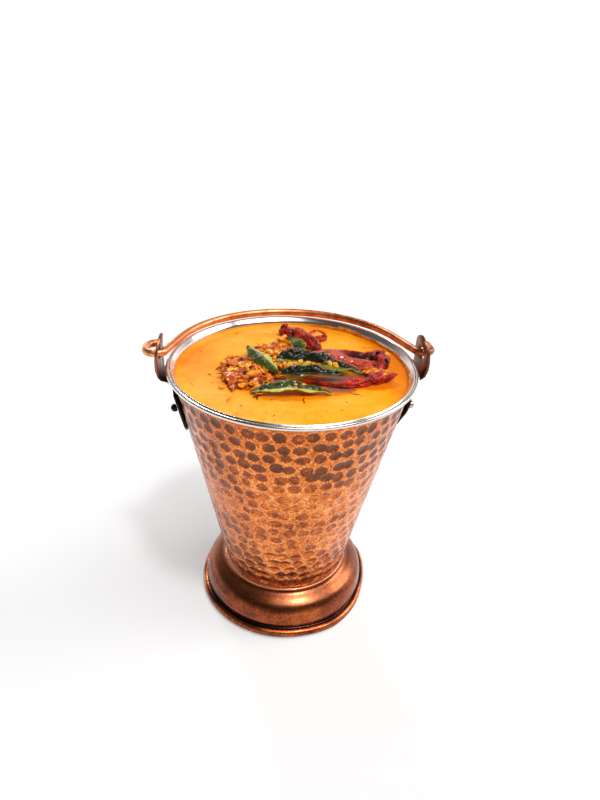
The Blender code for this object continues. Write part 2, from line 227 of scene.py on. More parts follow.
def noise_at(points, size, seed=0.0):
    """Smooth random values, about -1 to 1, with features of a size in millimetres."""
    return np.array([noise.noise(Vector(p) / size + Vector((seed, 2.7 * seed, 0))) for p in points])


def new_finish(name, **sockets):
    """A material whose Principled shader has these plain values."""
    material = bpy.data.materials.new(name)
    material.use_nodes = True
    inputs = material.node_tree.nodes["Principled BSDF"].inputs
    for key, value in sockets.items():
        inputs[key.replace("_", " ")].default_value = value
    return material


def connect(material, **sources):
    """Join node outputs to the shader's sockets."""
    inputs = material.node_tree.nodes["Principled BSDF"].inputs
    for key, source in sources.items():
        material.node_tree.links.new(source, inputs[key.replace("_", " ")])


def surface(material):
    """The node tree of a material, and the place on the object in it."""
    return material.node_tree, put(material.node_tree, "TexCoord", output=3)


def mottle(tree, place, scale, detail, roughness=0.5, distortion=0.0):
    """A noise texture; the scale is in features to a metre."""
    return put(tree, "TexNoise", {"Vector": place, "Scale": scale, "Detail": detail,
                                  "Roughness": roughness, "Distortion": distortion})


def axis(tree, place, number):
    """One of a place's x, y and z."""
    return put(tree, "SeparateXYZ", {0: place}, output=number)


def painted(tree, name):
    """The number that paint() kept under a name."""
    return put(tree, "Attribute", attribute_name=name, output=2)


def mixed(tree, factor, first, second):
    """A colour between two."""
    return put(tree, "Mix", {0: factor, 6: first, 7: second}, data_type="RGBA", output=2)


def bumps(tree, height, strength, distance):
    """Fine relief, up to a distance in metres."""
    return put(tree, "Bump", {"Strength": strength, "Distance": distance, "Height": height})


def dress(piece, material, slot, *stands_for, body="bucket"):
    """Give a piece its material and its body, and hide the CAD nodes that it stands for, if any."""
    piece.data.materials.clear()
    piece.data.materials.append(material)
    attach(piece, body)
    if stands_for:
        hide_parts(*stands_for)
    return piece


outline = [(0.0, WALL_BOTTOM), (wall_radius(WALL_BOTTOM) - WALL_SHEET, WALL_BOTTOM),
           (WALL_TOP[0] - WALL_SHEET, WALL_TOP[1])]
outline += [(wall_radius(z), z) for z in np.linspace(WALL_TOP[1], WALL_FOOT[1], 151)]
outline += [(0.0, WALL_FOOT[1])]
wall = turned("hammered_wall", outline, 540)
points = points_of(wall)
around = np.arctan2(points[:, 1], points[:, 0])
radius = np.hypot(points[:, 0], points[:, 1])
outer = radius > wall_radius(points[:, 2]) - 0.1
chance = np.random.default_rng(7)
hollow = np.full(len(points), -1.0)
row_height, row_number = FIRST_ROW, 0
while row_height > LAST_ROW:
    count = round(2 * pi * wall_radius(row_height) / MARK_PITCH)
    angles = 2 * pi * (np.arange(count) + 0.5 * (row_number % 2)) / count
    angles += chance.normal(0, 0.7, count) / wall_radius(row_height)
    heights = row_height + chance.normal(0, 0.5, count)
    widths = chance.normal(MARK_HALF_WIDTH, 0.24, count)
    talls = chance.normal(MARK_HALF_HEIGHT, 0.20, count)
    depths = np.clip(chance.normal(0.86, 0.16, count), 0.45, 1.0)
    near = np.flatnonzero(outer & (abs(points[:, 2] - row_height) < 5.5))
    apart = (around[near, None] - angles + pi) % (2 * pi) - pi
    across = apart * radius[near, None] / widths
    up = (points[near, 2, None] - heights) / talls
    pressed = depths * (1 - across ** 2 - up ** 2)
    hollow[near] = np.maximum(hollow[near], pressed.max(axis=1))
    row_height -= ROW_PITCH if row_height > LOW else LOW_ROW_PITCH
    row_number += 1
hollow += 0.14 * noise_at(points, 1.6, 13)
crisp = 0.46 + 0.34 * np.clip((50 - points[:, 2]) / 20, 0, 1)
fade = np.clip(WALL_TOP[1] - points[:, 2], 0, 1)
swell = noise_at(points, 9.0) * 0.10 + noise_at(points, 2.2, 5) * 0.02
struck = crisp * np.maximum(hollow, 0)
moved = np.where(outer, radius + 0.1 - fade * struck + fade * (swell - 0.05), radius)
scale = np.divide(moved, radius, out=np.ones_like(radius), where=radius > 1)
set_points(wall, points * np.stack([scale, scale, np.ones_like(scale)], axis=1))
paint(wall, "hollow", hollow)

copper = new_finish("hammered_copper", Metallic=1.0, Coat_Weight=0.3, Coat_Roughness=0.14)
tree, place = surface(copper)
depth = painted(tree, "hollow")
cloud = mottle(tree, place, 62.0, 4.0, 0.6)
blotch = mottle(tree, place, 330.0, 5.0, 0.7)
grain = mottle(tree, place, 1150.0, 5.0, 0.7)
height = axis(tree, place, 2)
# Painted shade: from about 80 mm up the wall darkens towards the rim, standing for the rim's shadow; the
# cloud term is random patina.
thick = calc(tree, "ADD", steps(tree, cloud, 0.40, 0.62, 0.06, 0.24),
             steps(tree, height, 0.080, 0.102, 0.0, 0.26))
# Below about 40 mm the wall is darker too.
thick = calc(tree, "ADD", thick, steps(tree, height, 0.032, 0.048, 0.10, 0.0))
ragged = calc(tree, "MULTIPLY_ADD", grain, 0.42, depth)
patina_and_shade = calc(tree, "MULTIPLY", steps(tree, ragged, 0.16, 0.62), thick)
ridge = calc(tree, "MULTIPLY", steps(tree, ragged, -0.15, 0.16),
             steps(tree, ragged, 0.22, 0.40, 1.0, 0.0))
ridge = calc(tree, "MULTIPLY", ridge, steps(tree, blotch, 0.36, 0.58))
sideways = axis(tree, place, 0)
for amount, value in ((0.95, blotch), (1.35, grain), (-0.13, ridge), (0.35, cloud),
                      # Painted shade: the left side of the wall is darkened, from about 10 mm left of the
                      # middle outwards.
                      (1.0, steps(tree, sideways, -0.045, -0.01, 0.10, 0.0)),
                      # Painted shade: the top, from 100 to 120 mm, is darkened again under the rim.
                      (1.0, steps(tree, height, 0.100, 0.120, 0.0, 0.06))):
    patina_and_shade = calc(tree, "MULTIPLY_ADD", value, amount, patina_and_shade)
connect(copper,
        Base_Color=ramp(tree, patina_and_shade, (1.02, (0.98, 0.54, 0.25)), (1.21, (0.90, 0.29, 0.055)),
                        (1.42, (0.60, 0.130, 0.016)), (1.64, (0.27, 0.060, 0.013)),
                        (1.92, (0.12, 0.036, 0.014))),
        Roughness=steps(tree, patina_and_shade, 1.1, 1.8, 0.20, 0.36),
        Normal=bumps(tree, grain, 0.5, 0.0002))
dress(wall, copper, "hammered_copper", "copper_wall")

# ---------------------------------------------------------------- steel lining
# A plain cup of thin stainless steel, spun and polished. It drops into the copper, and its top
# edge is rolled outwards over the copper's edge into the bead that makes the rim.
LINING_INSET, STEEL_SHEET = 1.3, 0.5


def arc(centre, size, start, end, count):
    """Points of (radius, height) on an arc, from start to end in degrees."""
    angles = [radians(start + (end - start) * i / count) for i in range(count + 1)]
    return [(centre[0] + size * cos(a), centre[1] + size * sin(a)) for a in angles]


def lining_radius(height):
    """The steel cup's inside at a height."""
    return wall_radius(height) - LINING_INSET


def rounded(line, pieces):
    """A smooth line through every given point (a row of numbers each), pieces to a span."""
    line = np.asarray(line, float)
    padded = np.vstack([2 * line[0] - line[1], line, 2 * line[-1] - line[-2]])
    out = []
    for a, b, c, d in zip(padded, padded[1:], padded[2:], padded[3:]):
        for t in np.arange(pieces) / pieces:
            out.append(0.5 * (2 * b + (c - a) * t + (2 * a - 5 * b + 4 * c - d) * t ** 2
                              + (3 * b - 3 * c + d - a) * t ** 3))
    return np.array(out + [line[-1]])


flare = rounded([(lining_radius(121.5), 121.5), (lining_radius(123.4), 123.4), (50.95, 124.6),
                 (51.3, 125.35), (52.05, 126.2), (52.85, 127.1)], 4)
outline = [(0.0, 21.4), (lining_radius(21.4) - 1.2, 21.4), (lining_radius(22.6), 22.6)]
outline += [(lining_radius(z), z) for z in (60.0, 100.0, 118.0)] + [tuple(p) for p in flare]
outline += [(53.05, 127.1), (53.22, 126.6), (53.36, 126.5)]
outline += arc((54.15, 126.1), 0.85, 150, -80, 18)
outline += [(53.3, 124.75), (lining_radius(124.5) + 1.0, 124.5),
            (lining_radius(124.0) + STEEL_SHEET, 124.0), (lining_radius(22.1) + STEEL_SHEET, 22.1),
            (lining_radius(20.9) - 0.7, 20.9), (0.0, 20.9)]
lining = turned("steel_rim", outline, 288)
steel = new_finish("polished_steel", Metallic=1.0)
tree, place = surface(steel)
streaks = put(tree, "Mapping", {"Vector": place, "Scale": (1, 1, 14)})
spun = mottle(tree, streaks, 160.0, 5.0)
smudge = mottle(tree, place, 55.0, 4.0)
connect(steel,
        Base_Color=ramp(tree, smudge, (0.3, (0.88, 0.82, 0.78)), (0.7, (0.80, 0.72, 0.68))),
        Roughness=steps(tree, smudge, 0.3, 0.7, 0.14, 0.24),
        Normal=bumps(tree, spun, 0.12, 0.00005))
dress(lining, steel, "steel", "steel_lining")

# ---------------------------------------------------------------- foot
# A spun skirt of thicker copper, pushed up over the wall's bottom and held by its own small lip.
# Below a rounded shoulder it has a groove and a rolled edge, which stands out of round at the right.
FOOT_SHEET = 0.9
DENTS = ((17, 16, 2.3), (-20, 14, -0.7), (-60, 14, 0.8), (150, 18, 0.5))     # angle, width, how far out


def blend(stations, t):
    """A smooth value at t, from stations (t, value) in rising order, eased from one to the next."""
    at, values = zip(*stations)
    t = np.asarray(t, float)
    k = np.clip(np.searchsorted(at, t) - 1, 0, len(at) - 2)
    low, high = np.take(at, k), np.take(at, k + 1)
    s = np.clip((t - low) / (high - low), 0, 1)
    return np.take(values, k) + (np.take(values, k + 1) - np.take(values, k)) * s * s * (3 - 2 * s)


def foot_dent(angle, height):
    """How far the foot's edge stands out of round at an angle and a height."""
    spread = np.zeros_like(angle)
    for centre, width, depth in DENTS:
        apart = (angle - radians(centre) + pi) % (2 * pi) - pi
        spread += depth * np.exp(-(apart / radians(width)) ** 2)
    return spread * blend([(4.2, 1.0), (6.5, 0.25), (12.0, 0.0)], height)


skirt = rounded([(31.1, 19.7), (32.2, 18.6), (34.8, 17.3), (37.4, 15.4), (39.2, 12.6), (40.0, 9.4),
                 (40.3, 6.6), (39.6, 4.2)], 4)
slope = np.gradient(skirt, axis=0)
inner_skirt = skirt + FOOT_SHEET * np.stack([slope[:, 1], -slope[:, 0]], 1) / np.hypot(*slope.T)[:, None]
outline = (arc((30.75, 20.3), 0.36, 180, -20, 10) + [tuple(p) for p in skirt]
           + arc((40.85, 2.05), 2.05, 105, -90, 20) + [(38.9, 0.0), (38.4, 3.0)]
           + [tuple(p) for p in inner_skirt[-4:1:-2]])
outline.append(outline[0])
foot = turned("spun_foot", outline, 320)
points = points_of(foot)
radius = np.hypot(points[:, 0], points[:, 1])
angle = np.arctan2(points[:, 1], points[:, 0])
grown = 1 + foot_dent(angle, points[:, 2]) / radius
grown += 0.0022 * noise_at(points, 14.0, 3) * blend([(0.1, 0), (2.5, 1), (16, 1), (19, 0)], points[:, 2])
set_points(foot, points * np.stack([grown, grown, np.ones_like(grown)], axis=1))
# Painted highlight, partly rubbed wear: the lip ring at the top is painted bright all round, and a patchy
# band on top of the rolled edge is brightened too.
wear_and_highlight = np.maximum(1.2 * blend([(20.0, 0), (20.4, 1)], points[:, 2]),
                  blend([(2.6, 0), (3.6, 1), (4.1, 1), (4.4, 0)], points[:, 2]) * (radius > 40.9)
                  * (0.55 + 0.9 * noise_at(points, 11.0, 8)))
paint(foot, "wear_and_highlight", wear_and_highlight)
# The groove above the rolled edge is painted darker.
paint(foot, "groove_band", blend([(3.3, 0), (4.2, 1), (4.6, 1), (6.2, 0)], points[:, 2]))

aged = new_finish("aged_copper", Metallic=1.0, Coat_Weight=0.35, Coat_Roughness=0.24)
tree, place = surface(aged)
rubbed = painted(tree, "wear_and_highlight")
groove_dark = painted(tree, "groove_band")
cloud = mottle(tree, place, 75.0, 6.0, 0.72)
grain = mottle(tree, place, 1000.0, 4.0, 0.7)
bright = calc(tree, "MULTIPLY_ADD", rubbed, 0.62, cloud)
bright = calc(tree, "MULTIPLY_ADD", groove_dark, -0.45, bright)
bright = calc(tree, "MULTIPLY_ADD", grain, 0.75, bright)
layered = put(tree, "Mapping", {"Vector": place, "Scale": (0.12, 0.12, 1.0)})
rings = mottle(tree, layered, 700.0, 3.0, 0.6)
bright = calc(tree, "MULTIPLY_ADD", rings, 0.40, bright)
metal = ramp(tree, bright, (0.76, (0.035, 0.008, 0.003)), (0.96, (0.14, 0.026, 0.007)),
             (1.13, (0.33, 0.062, 0.010)), (1.33, (0.60, 0.155, 0.032)), (1.6, (0.88, 0.40, 0.19)))
height = axis(tree, place, 2)
# Painted highlight: the shoulder band, where the overhead light's highlight falls, is mixed towards a pale
# grey-brown so that the highlight reads whitish; the lip above is left out.
shoulder_highlight_tint = calc(tree, "MULTIPLY", steps(tree, height, 0.0135, 0.0165, 0.0, 0.30),
            steps(tree, height, 0.0188, 0.0198, 1.0, 0.0))
connect(aged,
        Base_Color=mixed(tree, shoulder_highlight_tint, metal, (0.40, 0.15, 0.06, 1)),
        Roughness=steps(tree, cloud, 0.3, 0.7, 0.36, 0.22),
        Normal=bumps(tree, grain, 0.3, 0.0001))
dress(foot, aged, "hammered_copper", "foot")

# ---------------------------------------------------------------- ears and rivets
# Two flat ears cut from copper plate, each with a hole for the bail and a strap bent in under the
# rim and down the wall, held there by two round-headed rivets. They have gone nearly black, and
# below the rim the plate is painted darker still as the rim's shadow.


def copy_of(node, name):
    """A welded copy of a node's mesh, to work finer."""
    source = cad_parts[node]
    piece = bpy.data.objects.new(name, source.data.copy())
    piece.data.name = name
    link(piece)
    weld(piece, 0.01)
    return piece


def apply(piece, kind, **settings):
    """Add a modifier and apply it."""
    alone(piece)
    modifier = piece.modifiers.new(kind.lower(), kind)
    for key, value in settings.items():
        setattr(modifier, key, value)
    bpy.ops.object.modifier_apply(modifier=modifier.name)
    return piece


plate = new_finish("tarnished_plate", Metallic=1.0)
tree, place = surface(plate)
height = axis(tree, place, 2)
cloud = mottle(tree, place, 160.0, 5.0, 0.65)
grain = mottle(tree, place, 1300.0, 3.0)
# Painted shadow: below about 116 mm, under the rim, the plate is darkened as the rim's shadow; the cloud
# term is random tone.
tone_and_rim_shadow = calc(tree, "ADD", steps(tree, height, 0.116, 0.127, -0.45, 0.0), cloud)
connect(plate,
        Base_Color=ramp(tree, tone_and_rim_shadow, (0.0, (0.018, 0.014, 0.012)), (0.35, (0.10, 0.045, 0.028)),
                        (0.55, (0.30, 0.12, 0.065)), (0.8, (0.50, 0.21, 0.11))),
        Roughness=steps(tree, cloud, 0.3, 0.7, 0.45, 0.3),
        Normal=bumps(tree, grain, 0.3, 0.0001))

# Painted highlight: a pale, bright copy of the ear metal, given only to the right rivets, which face the
# light; the left rivets keep the dark plate.
lit_rivet_metal = new_finish("lit_rivet_metal", Metallic=1.0)
tree, place = surface(lit_rivet_metal)
cloud = mottle(tree, place, 500.0, 4.0)
connect(lit_rivet_metal,
        Base_Color=ramp(tree, cloud, (0.35, (0.42, 0.26, 0.20)), (0.6, (0.80, 0.62, 0.54))),
        Roughness=steps(tree, cloud, 0.3, 0.7, 0.35, 0.2))

for side in ("left", "right"):
    ear = copy_of("ear_" + side, "ear_plate_" + side)
    apply(ear, "BEVEL", width=0.22 * MM, segments=2, limit_method="ANGLE", angle_limit=radians(40))
    alone(ear)
    bpy.ops.object.shade_smooth_by_angle(angle=radians(35))
    dress(ear, plate, "aged_copper", "ear_" + side)
    for end in ("front", "back"):
        node = f"rivet_{side}_{end}"
        rivet = copy_of(node, node + "_head")
        apply(rivet, "SUBSURF", levels=2, render_levels=2)
        apply(rivet, "SMOOTH", factor=0.3, iterations=1)
        smooth(rivet)
        # Painted light: the right rivets take the bright copy, the left ones the dark plate.
        dress(rivet, lit_rivet_metal if side == "right" else plate, "hammered_copper", node)

# ---------------------------------------------------------------- bail
# A handle bent from thick copper wire. It goes out through the ears' holes and hooks back, so that
# it swings, and here it lies down on the back of the rim.
BAIL_RADIUS, WIRE_RADIUS, PIVOT_HEIGHT, DROOP = 53.0, 1.75, 131.1, -1.6


def trace(start, moves):
    """Points along a bent wire: each move is (length, turn in degrees, pieces), left if positive."""
    x, y = start
    heading = 0.0
    line = [start]
    for length, turn, pieces in moves:
        step, bend = length / pieces, radians(turn) / pieces
        for _ in range(pieces):
            heading += bend / 2
            chord = step * (sin(bend / 2) / (bend / 2) if bend else 1.0)
            x, y = x + chord * cos(heading), y + chord * sin(heading)
            heading += bend / 2
            line.append((x, y))
    return line


def bend(size, turn, pieces):
    """A move for trace() round a bend of a radius."""
    return (size * abs(radians(turn)), turn, pieces)


def bail_half(hook, side):
    """Half of the handle from its middle to its end: the hoop, a straight and the hook."""
    return trace((0.0, BAIL_RADIUS), [bend(BAIL_RADIUS, -70, 40), (16.6, 0, 8), bend(3.5, 55, 8),
                                      bend(hook, 105, 14), (side, 0, 2), bend(hook, 90, 12)])


way = [(-x, y) for x, y in reversed(bail_half(4.5, 2.6)[1:])] + bail_half(3.9, 3.6)
wire = bpy.data.curves.new("bail_wire", "CURVE")
wire.dimensions, wire.bevel_depth, wire.bevel_resolution = "3D", WIRE_RADIUS * MM, 5
wire.use_fill_caps = True
spline = wire.splines.new("POLY")
spline.points.add(len(way) - 1)
droop = Matrix.Translation((0, 0, PIVOT_HEIGHT * MM)) @ Matrix.Rotation(radians(DROOP), 4, "X")
for point, (x, y) in zip(spline.points, way):
    point.co = (*(droop @ Vector((x * MM, y * MM, 0))), 1.0)
bail = link(bpy.data.objects.new("bail_wire", wire))
alone(bail)
bpy.ops.object.convert(target="MESH")
bail = bpy.context.object
bail.name = "bail_wire"
weld(bail, 0.005)
apply(bail, "BEVEL", width=0.35 * MM, segments=3, limit_method="ANGLE", angle_limit=radians(60))
smooth(bail)
points = points_of(bail)
push = noise_at(points, 4.0, 2) * 0.05
middle = points - points.mean(axis=0)
set_points(bail, points + push[:, None] * middle / np.linalg.norm(middle, axis=1)[:, None])

bail_metal = new_finish("bail_copper", Metallic=1.0, Coat_Weight=0.7, Coat_Roughness=0.2)
tree, place = surface(bail_metal)
across = axis(tree, place, 0)
cloud = mottle(tree, place, 130.0, 6.0, 0.7)
grain = mottle(tree, place, 1000.0, 3.0)
darker = calc(tree, "ADD", steps(tree, across, 0.0, 0.05, 0.06, -0.10), cloud)
connect(bail_metal,
        Base_Color=ramp(tree, darker, (0.25, (0.18, 0.036, 0.014)), (0.42, (0.58, 0.155, 0.038)),
                        (0.55, (0.86, 0.31, 0.105)), (0.75, (0.93, 0.46, 0.25))),
        Roughness=steps(tree, cloud, 0.3, 0.7, 0.46, 0.34),
        Normal=bumps(tree, grain, 0.3, 0.0001))
dress(bail, bail_metal, "hammered_copper", "bail", body="bail")

# ---------------------------------------------------------------- dal
# Thick smooth lentil curry poured in almost to the rim. It clings to the steel where it was
# tipped, at the right and the back, and oil has bled out round the toppings.
LEVEL, EDGE = 124.8, 123.4
side = lining_radius(EDGE) + 0.02
across = np.linspace(0.5, side - 0.3, 110)
outline = [(0.0, LEVEL)] + list(zip(across, blend([(34.0, LEVEL), (side, EDGE)], across)))
outline += [(side, EDGE), (lining_radius(60.0) - 0.3, 60.0), (lining_radius(23.1) - 0.3, 23.1),
            (lining_radius(21.7) - 1.7, 21.7), (0.0, 21.7)]
dal = turned("dal_surface", outline, 300)
points = points_of(dal)
radius = np.hypot(points[:, 0], points[:, 1])
top = points[:, 2] > EDGE - 1
relief = (noise_at(points, 13.0, 1) * 0.16 + noise_at(points, 4.5, 4) * 0.05
          + noise_at(points, 1.5, 6) * 0.02)
meniscus = blend([(side - 1.6, 0), (side, 1)], radius) * (0.15 + 0.25 * noise_at(points, 6.0, 9))
points[:, 2] += np.where(top, relief + meniscus, 0)
set_points(dal, points)

OILY = [      # x, y, half length, half width, turn and strength of the oil that the toppings bled
    (-21.5, -7.5, 10.5, 15.5, 14, 0.9), (-6.5, 13.0, 12.0, 7.0, -6, 0.8), (34.4, -8.8, 7.5, 5.0, -8, 0.9),
    (8.0, -22.0, 17.0, 6.0, 0, 1.0), (29.0, 3.0, 16.0, 8.5, -10, 0.9), (5.0, 25.0, 7.0, 12.0, 25, 0.8),
    (-3.0, -25.0, 18.0, 6.5, 0, 0.8), (14.8, 30.2, 5.0, 4.5, 0, 0.8), (31.0, -17.5, 15.0, 5.0, 6, 1.0),
    # Strengths near 2 mark the dark slicks beside and under the toppings, painted partly as their shade and
    # sheen.
    (10.0, -4.0, 18.0, 11.0, -15, 1.0), (-7.5, -15.5, 9.5, 4.6, -8, 2.0), (17.0, -14.5, 14.0, 5.6, 3, 2.1),
    (17.0, -22.0, 7.5, 2.6, 4, 1.9), (30.0, -5.0, 7.0, 6.0, -30, 1.9),
]
wobble = noise_at(points, 3.0, 11) * 0.25 + noise_at(points, 8.0, 12) * 0.2
oil = np.zeros(len(points))
for x, y, long, wide, turn, strength in OILY:
    a = radians(turn)
    dx, dy = points[:, 0] - x, points[:, 1] - y
    reach = np.hypot((dx * cos(a) + dy * sin(a)) / long, (dy * cos(a) - dx * sin(a)) / wide)
    oil = np.maximum(oil, strength * np.clip((1.15 - reach + wobble * 0.6) / 0.30, 0, 1))
paint(dal, "oil", oil * (radius < side - 0.5))

sauce = new_finish("dal", Specular_IOR_Level=0.14)
tree, place = surface(sauce)
bled = painted(tree, "oil")
cloud = mottle(tree, place, 45.0, 3.0)
stirred = put(tree, "Mapping", {"Vector": place, "Rotation": (0, 0, 0.2), "Scale": (1, 1.7, 1)})
stroke = mottle(tree, stirred, 110.0, 7.0, 0.78, distortion=0.4)
grain = mottle(tree, place, 1200.0, 4.0, 0.7)
tone = calc(tree, "MULTIPLY_ADD", stroke, 1.1, cloud)
tone = calc(tree, "MULTIPLY_ADD", grain, 0.35, tone)
sideways = axis(tree, place, 0)
# Painted shade: the dal is darkened towards its left edge and, more strongly, on its right side.
for low, high, to_low, to_high in ((-0.048, -0.015, -0.24, 0.0), (0.030, 0.049, 0.0, -0.60)):
    tone = calc(tree, "ADD", steps(tree, sideways, low, high, to_low, to_high), tone)
plain = ramp(tree, tone, (0.80, (0.86, 0.225, 0.001)), (1.08, (0.99, 0.345, 0.002)),
             (1.28, (1.0, 0.410, 0.018)), (1.5, (1.0, 0.48, 0.060)))
# The strongest slicks run to a dark grey-brown: oil, and also painted shade and grey sheen there.
oil_tone = calc(tree, "MULTIPLY_ADD", stroke, 0.7, bled)
oiled = ramp(tree, oil_tone, (0.3, (0.97, 0.36, 0.004)), (0.9, (0.92, 0.27, 0.002)),
             (1.35, (0.80, 0.17, 0.002)), (1.8, (0.50, 0.115, 0.030)), (2.35, (0.30, 0.125, 0.085)))
connect(sauce,
        Base_Color=mixed(tree, bled, plain, oiled),
        Roughness=steps(tree, bled, 0.1, 1.2, 0.42, 0.10),
        Normal=bumps(tree, grain, 0.15, 0.0001))
dress(dal, sauce, "dal", "dal")


def grid(name, columns, rows):
    """A flat grid to shape, and where its vertices lie along and across it, from 0 to 1."""
    bpy.ops.mesh.primitive_grid_add(x_subdivisions=columns, y_subdivisions=rows, size=1.0)
    piece = bpy.context.object
    piece.name = piece.data.name = name
    return piece, *np.clip((points_of(piece) * MM)[:, :2].T + 0.5, 0, 1)


def thicken(piece, thickness):
    """Make a flat piece into a sheet."""
    apply(piece, "SOLIDIFY", thickness=thickness * MM, offset=0.0)
    smooth(piece)


# The thin coat that the tipped dal left on the steel, with a ragged upper edge.
smear, along, up = grid("dal_smear", 260, 10)
turn = radians(-24) + along * radians(98)
ring = np.stack([50 * np.cos(turn), 50 * np.sin(turn), np.zeros_like(turn)], axis=1)
reach = 1.3 + 1.4 * noise_at(ring, 6.0, 21) + 0.3 * noise_at(ring, 1.6, 22)
reach *= np.minimum(1, 6 * np.minimum(along, 1 - along))
height = EDGE - 0.3 + up * np.clip(reach + 0.9, 0.45, 3.4)
r = np.interp(height, flare[:, 1], flare[:, 0]) - 0.2 + 0.08 * noise_at(ring, 2.0, 23)
set_points(smear, np.stack([r * np.cos(turn), r * np.sin(turn), height], axis=1))
thicken(smear, 0.25)
film = new_finish("dal_film", Roughness=0.22, Coat_Weight=0.3)
tree, place = surface(film)
cloud = mottle(tree, place, 320.0, 5.0, 0.65)
connect(film, Base_Color=ramp(tree, cloud, (0.35, (0.40, 0.10, 0.006)), (0.5, (0.70, 0.23, 0.012)),
                              (0.65, (0.88, 0.40, 0.06))),
        Normal=bumps(tree, cloud, 0.5, 0.0003))
dress(smear, film, "dal")

# ---------------------------------------------------------------- curry leaves
# Whole leaves fried in oil until they curl and turn dark and glassy. Each is a pointed blade with
# a sunk midrib and side veins, blistered between them, and is dropped on the dal.


def leaf(name, node, base, tip, half_width, fold, roll, green_and_lit, arch=1.0, sway=0.0, seed=0.0, curl=0.0,
         blisters=0.6, belly=0.64):
    """A leaf from base to tip. fold lifts both halves, roll turns it about its midrib (degrees).

    The pair after roll gives its two halves' tones, from 0, fried black, to 1, green: partly how
    fried each half is, partly painted light and shade, one half painted lit and the other shaded.
    curl rolls its edges down.
    The larger belly is, the nearer to its tip the leaf is widest.
    """
    base, tip = Vector(base), Vector(tip)
    length = (tip - base).length
    piece, t, side = grid(name, 96, 36)
    side = 2 * side - 1
    width = half_width * (0.06 + np.sin(pi * t ** belly) ** 0.9 * (1.0 - 0.45 * t) * 1.2)
    width *= 1 + 0.07 * np.sin(23 * t + seed) * abs(side)
    lifted = radians(fold) * np.minimum(abs(side) * 4, 1)
    across = side * width
    flat = np.stack([t * length, across, np.full_like(t, seed * 9.0)], axis=1)
    veins = np.abs(np.sin(pi * (t * 11 - 1.6 * abs(side) * width / half_width)))
    blister = noise_at(flat, 3.4, seed) * blisters + noise_at(flat, 1.3, seed + 3) * 0.4 * blisters
    z = (abs(across) * np.sin(lifted) + arch * np.sin(pi * t) + 0.5 * side ** 2 * np.sin(5 * pi * t)
         + blister * np.minimum(1, 3 * abs(side)) + 0.12 * np.sqrt(veins) - curl * np.abs(side) ** 3
         - 0.35 * np.exp(-(across / 0.5) ** 2))
    y = across * np.cos(lifted) * (1 - 0.08 * curl * side ** 2) + sway * np.sin(pi * t)
    shape = np.stack([t * length, y, z], axis=1)
    along = (tip - base).normalized()
    sideways = Vector((0, 0, 1)).cross(along).normalized()
    turn = (Matrix((along, sideways, along.cross(sideways))).transposed()
            @ Matrix.Rotation(radians(roll), 3, "X"))
    set_points(piece, shape @ np.array(turn).T + np.array(base))
    # Painted light and shade: one half of the leaf is paler green as if lit, the other darker as if shaded,
    # besides how fried each is.
    halves = blend([(-0.12, green_and_lit[1]), (0.12, green_and_lit[0])], side)
    paint(piece, "green_and_lit", (halves + 0.30 * noise_at(flat, 4.0, seed + 6)
                           + 0.10 * noise_at(flat, 1.2, seed + 7)))
    paint(piece, "rib", np.maximum(np.exp(-(across / 0.30) ** 2), 0.6 * np.exp(-(veins / 0.14) ** 2)))
    paint(piece, "edge", np.abs(side) ** 18 * (0.55 + 0.9 * noise_at(flat, 4.0, seed + 8)))
    thicken(piece, 0.32)
    return dress(piece, green, "curry_leaf", node)


green = new_finish("fried_curry_leaf", Specular_IOR_Level=0.08, Coat_Weight=0.6, Coat_Roughness=0.06)
tree, place = surface(green)
green_and_lit_value = painted(tree, "green_and_lit")
rib = painted(tree, "rib")
edge = painted(tree, "edge")
cloud = mottle(tree, place, 330.0, 5.0, 0.65)
wrinkle = mottle(tree, place, 700.0, 4.0, distortion=1.6)
tone = calc(tree, "MULTIPLY_ADD", cloud, 0.6, green_and_lit_value)
blade = ramp(tree, tone, (0.15, (0.008, 0.006, 0.002)), (0.42, (0.018, 0.022, 0.003)),
             (0.70, (0.075, 0.100, 0.006)), (0.95, (0.26, 0.30, 0.014)), (1.25, (0.58, 0.56, 0.08)))
rib_mix = calc(tree, "MULTIPLY", rib, 0.45)
veined = mixed(tree, rib_mix, blade, (0.16, 0.16, 0.03, 1))
connect(green,
        Base_Color=mixed(tree, edge, veined, (0.50, 0.46, 0.05, 1)),
        Roughness=steps(tree, cloud, 0.3, 0.7, 0.36, 0.20),
        Normal=bumps(tree, wrinkle, 0.8, 0.0005))

leaf("leaf_rolled", "curry_leaf_left", (-19.8, 12, 129.4), (-7.4, -11.8, 128.8), 5.0, -14, -6, (0.95, 0.35),
     seed=1.0, curl=1.6, belly=1.1, blisters=1.0)
leaf("leaf_large", "curry_leaf_large", (-7.4, 2.4, 127.3), (28.8, -11.8, 127.8), 7.0, 22, 12, (-0.12, 0.5),
     seed=2.0, curl=1.0, blisters=1.3)
leaf("leaf_dark", "curry_leaf_dark", (-6.4, -12.4, 127.4), (21.8, -15.0, 127.8), 3.4, 24, 16, (-0.2, -0.1),
     seed=3.0)
leaf("leaf_front", "curry_leaf_front", (-19.5, -25.2, 125.8), (13.4, -27.0, 125.8), 4.1, 16, 4,
     (0.25, 1.05), sway=2.0, seed=4.0, belly=0.95)
leaf("leaf_back", "curry_leaf_back", (6.2, 12.8, 127.2), (-0.6, 25.6, 128.2), 2.6, 8, -20, (0.05, 0.45),
     arch=0.4, seed=5.0)

# ---------------------------------------------------------------- dried chillies
# Whole dried red chillies, fried: thin leathery skins, collapsed and creased, shining with oil.
# One lies at the back, a broad one at the right is split open down to its crumpled tip, and one
# lies in front, with a thin strip of skin beside it. A cut ring lies behind them.


